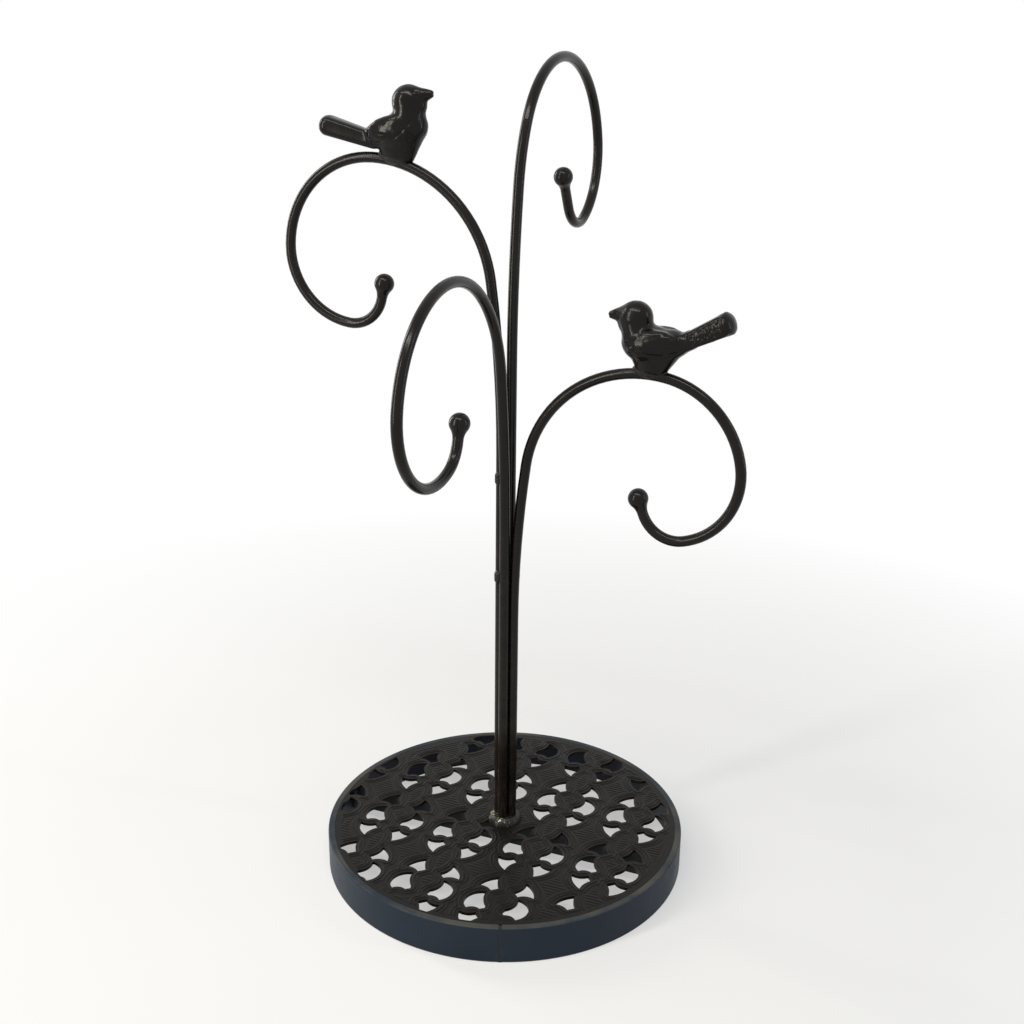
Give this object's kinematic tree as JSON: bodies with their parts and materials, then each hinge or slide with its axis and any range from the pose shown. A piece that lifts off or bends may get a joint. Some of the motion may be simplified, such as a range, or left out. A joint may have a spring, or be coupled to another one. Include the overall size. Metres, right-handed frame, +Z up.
{
  "type": "mug tree",
  "caption": "Black wrought-iron mug tree: a welded bundle of rods that part into curled hook arms with ball tips and perched birds, on a round pierced grille base.",
  "frame": {"origin": "centre of the base on the surface it stands on", "axes": "+Z up the stem; +X along the cross bar, with the right-hand arm turned about 4 degrees from it towards the front; +Y along the rear arm"},
  "size_m": [0.2343, 0.2345, 0.403],
  "materials": {
    "rod_paint": "satin black, worn",
    "base_paint": "satin black",
    "plate_paint": "satin black over relief",
    "weld_paint": "painted weld bead",
    "bird_paint": "satin black, rubbed to bronze on the edges"
  },
  "bodies": {
    "root": {"back_arm_rod": "rod_paint", "back_ball_tip": "rod_paint", "base_plate": "plate_paint", "cross_bar": "base_paint", "cross_bar_welds": "weld_paint", "front_arm_rod": "rod_paint", "front_ball_tip": "rod_paint", "left_arm_rod": "rod_paint", "left_ball_tip": "rod_paint", "left_bird": "bird_paint", "left_bird_weld": "weld_paint", "plate_tack_welds": "weld_paint", "right_arm_rod": "rod_paint", "right_ball_tip": "rod_paint", "right_bird": "bird_paint", "right_bird_weld": "weld_paint", "rim_band": "base_paint", "rim_seam_weld": "weld_paint", "stem_foot_weld": "weld_paint", "stem_tack_weld_back_high": "weld_paint", "stem_tack_weld_back_low": "weld_paint", "stem_tack_weld_front_high": "weld_paint", "stem_tack_weld_front_low": "weld_paint"}
  },
  "joints": []
}
